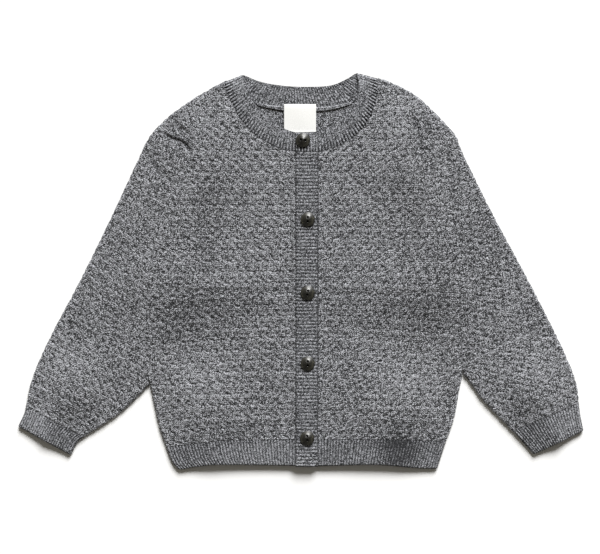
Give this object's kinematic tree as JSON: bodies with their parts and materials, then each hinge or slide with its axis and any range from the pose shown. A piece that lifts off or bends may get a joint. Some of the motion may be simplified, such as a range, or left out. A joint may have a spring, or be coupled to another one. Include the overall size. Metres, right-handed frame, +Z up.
{
  "type": "baby cardigan",
  "caption": "Long-sleeved baby cardigan in grey textured knit with ribbed hem, cuffs and neckband, buttoned up and laid flat on its back with the sleeves slanting down.",
  "frame": {"origin": "bottom centre of the garment's box, under the middle of the back", "axes": "+X to the wearer's left, across both sleeves; +Y to the neck; +Z up out of the front"},
  "size_m": [0.4518, 0.3174, 0.0118],
  "materials": {
    "knit": "textured knit in grey melange yarn",
    "rib": "ribbed knit in grey melange yarn",
    "label": "bare woven tape",
    "button": "polished dark horn look"
  },
  "bodies": {
    "root": {"back_panel": "knit", "front_right": "knit", "front_left": "knit", "sleeve_right": "knit", "sleeve_left": "knit", "hem_back": "rib", "hem_front_right": "rib", "hem_front_left": "rib", "cuff_right": "rib", "cuff_left": "rib", "neckband": "rib", "buttonhole_band": "rib", "button_band": "rib", "back_neck_seam": "rib", "label": "label", "button_1": "button", "button_2": "button", "button_3": "button", "button_4": "button", "button_5": "button"}
  },
  "joints": []
}
